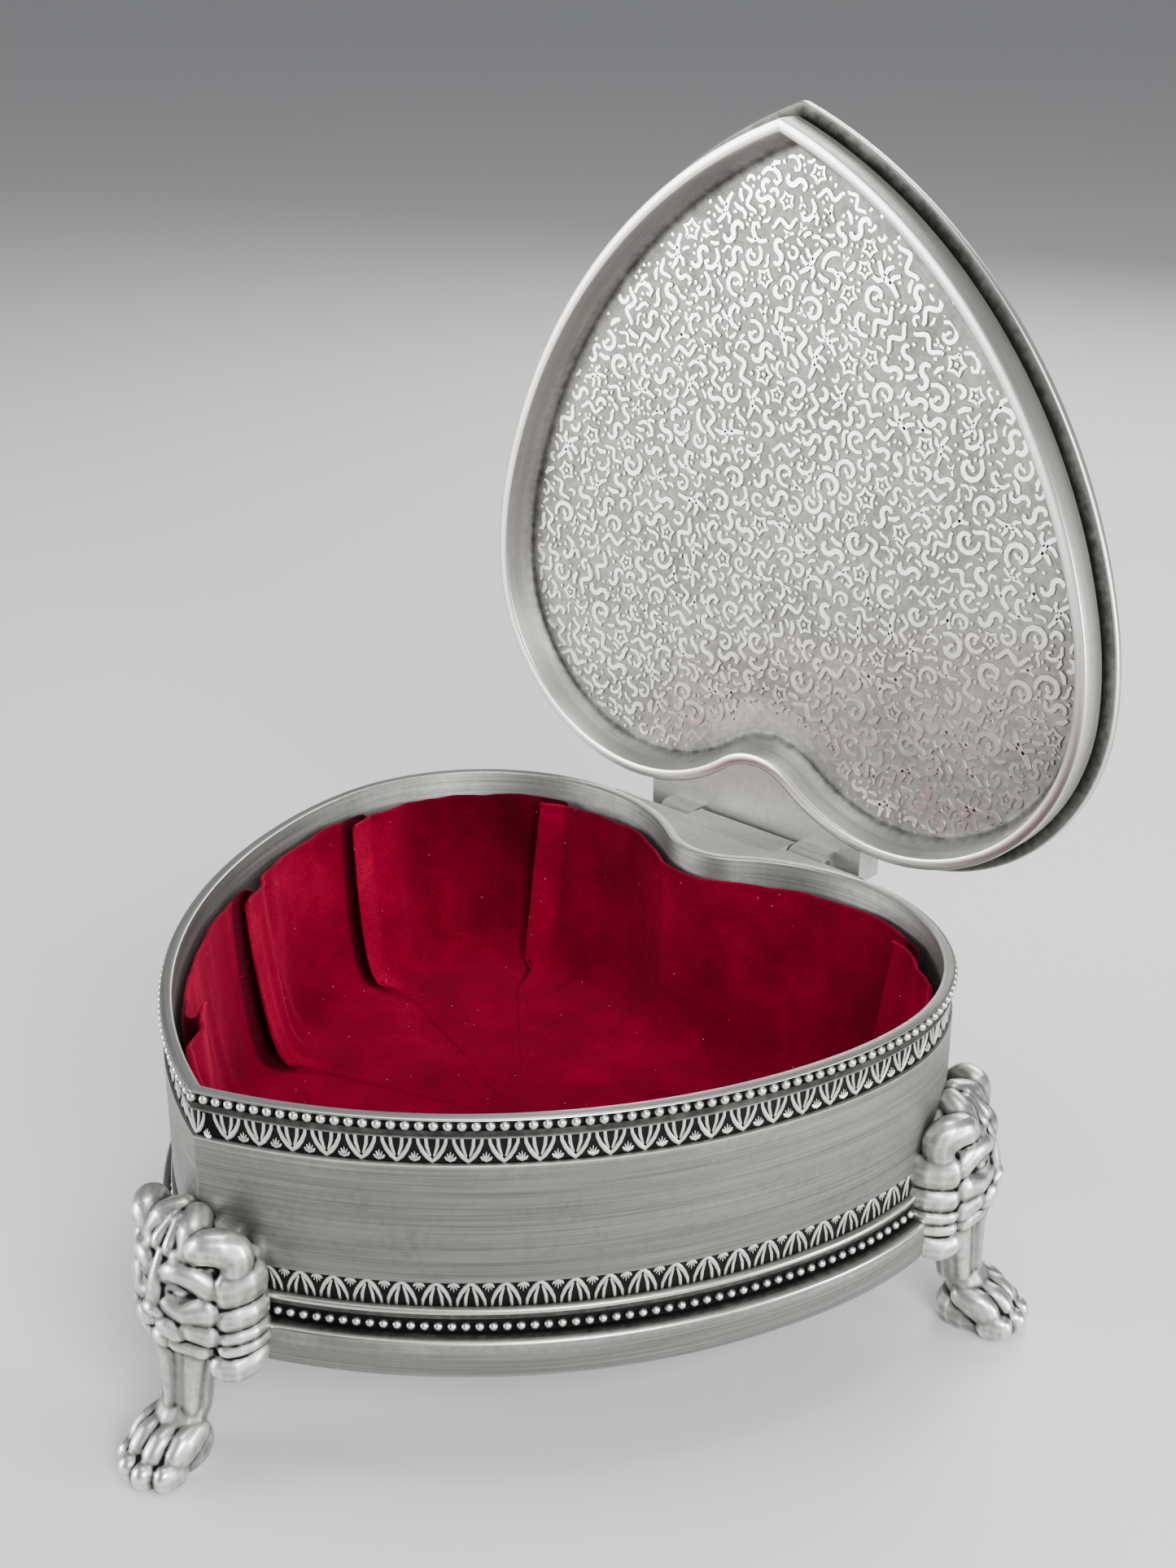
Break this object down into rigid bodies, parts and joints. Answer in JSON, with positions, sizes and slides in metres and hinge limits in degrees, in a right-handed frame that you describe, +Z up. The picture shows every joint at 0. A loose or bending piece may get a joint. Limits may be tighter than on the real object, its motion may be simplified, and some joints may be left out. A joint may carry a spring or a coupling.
{
  "type": "wind up music box",
  "caption": "Heart-shaped lidded music box in brushed cast metal on three lion-paw legs, with beaded and leaf bands, a hinged lid, a velvet lining and a wind-up cylinder movement.",
  "frame": {"origin": "under the middle of the box with its lid open, on the surface it stands on", "axes": "+Z up; -Y towards the point of the heart, the front; +X to the right seen from the front"},
  "size_m": [0.1694, 0.1646, 0.2026],
  "materials": {
    "pewter": "cast pewter alloy, brushed on the plain faces, dark patina in the recesses, worn bright on raised edges",
    "base_metal": "plain grey zinc casting and plate",
    "steel": "bright turned steel",
    "spring_steel": "ground spring steel",
    "key_metal": "plated key, slightly worn",
    "brass": "polished brass",
    "nylon": "off-white nylon",
    "clear_plastic": "moulded plastic dust cover",
    "card": "pressed card board, fully covered",
    "velvet": "deep crimson velvet with a soft sheen"
  },
  "bodies": {
    "box": {"body_shell": "pewter", "front_leg": "pewter", "right_leg": "pewter", "left_leg": "pewter", "floor_plate": "base_metal", "hinge_pin": "steel", "leg_screws": "steel", "floor_screws": "steel", "movement_screws": "steel", "comb_screws": "steel", "floor_board": "card", "velvet_lining": "velvet", "cover_velvet": "velvet", "movement_cover": "clear_plastic", "movement_bedplate": "base_metal", "key_bush": "brass", "ratchet_click": "spring_steel", "left_bracket": "base_metal", "right_bracket": "base_metal", "comb": "spring_steel", "comb_block": "base_metal", "governor_frame": "brass", "governor_ear": "brass", "lever_post": "base_metal"},
    "lid": {"lid_shell": "pewter", "lid_hinge_block": "pewter"},
    "key": {"winding_key": "key_metal", "winding_arbor": "steel", "ratchet_wheel": "steel"},
    "barrel": {"spring_barrel": "brass", "mainspring": "spring_steel"},
    "cylinder": {"music_cylinder": "brass", "cylinder_arbor": "steel", "cylinder_pinion": "brass", "great_gear": "brass"},
    "governor": {"governor_arbor": "steel", "governor_pinion": "brass", "worm_wheel": "nylon"},
    "fly": {"worm_shaft": "steel", "air_fly": "nylon"},
    "lever": {"stop_lever": "steel"}
  },
  "joints": [
    {"name": "lid_hinge", "type": "hinge", "parent": "box", "child": "lid", "pos_m": [0, 0.0709, 0.0643], "axis": [1, 0, 0], "range_deg": [0, 90]},
    {"name": "key_turn", "type": "hinge", "parent": "box", "child": "key", "pos_m": [0.01934, -0.02501, 0.022], "axis": [0, 0, 1], "continuous": true},
    {"name": "barrel_turn", "type": "hinge", "parent": "box", "child": "barrel", "pos_m": [0.01934, -0.02501, 0.022], "axis": [0, 0, 1], "continuous": true},
    {"name": "cylinder_turn", "type": "hinge", "parent": "box", "child": "cylinder", "pos_m": [0.02641, -0.01658, 0.0322], "axis": [0.6428, 0.766, 0], "continuous": true},
    {"name": "governor_turn", "type": "hinge", "parent": "box", "child": "governor", "pos_m": [0.02066, -0.01176, 0.0322], "axis": [0.6428, 0.766, 0], "continuous": true},
    {"name": "fly_turn", "type": "hinge", "parent": "box", "child": "fly", "pos_m": [0.02531, 0.00001, 0.022], "axis": [0, 0, 1], "continuous": true},
    {"name": "stop_lever_tip", "type": "hinge", "parent": "box", "child": "lever", "pos_m": [0.02846, 0.00376, 0.027], "axis": [0.766, -0.6428, 0], "range_deg": [0, 8]}
  ],
  "couplings": [
    {"joint": "cylinder_turn", "follows": "barrel_turn", "ratio": 3},
    {"joint": "governor_turn", "follows": "barrel_turn", "ratio": -12},
    {"joint": "fly_turn", "follows": "barrel_turn", "ratio": 144}
  ]
}
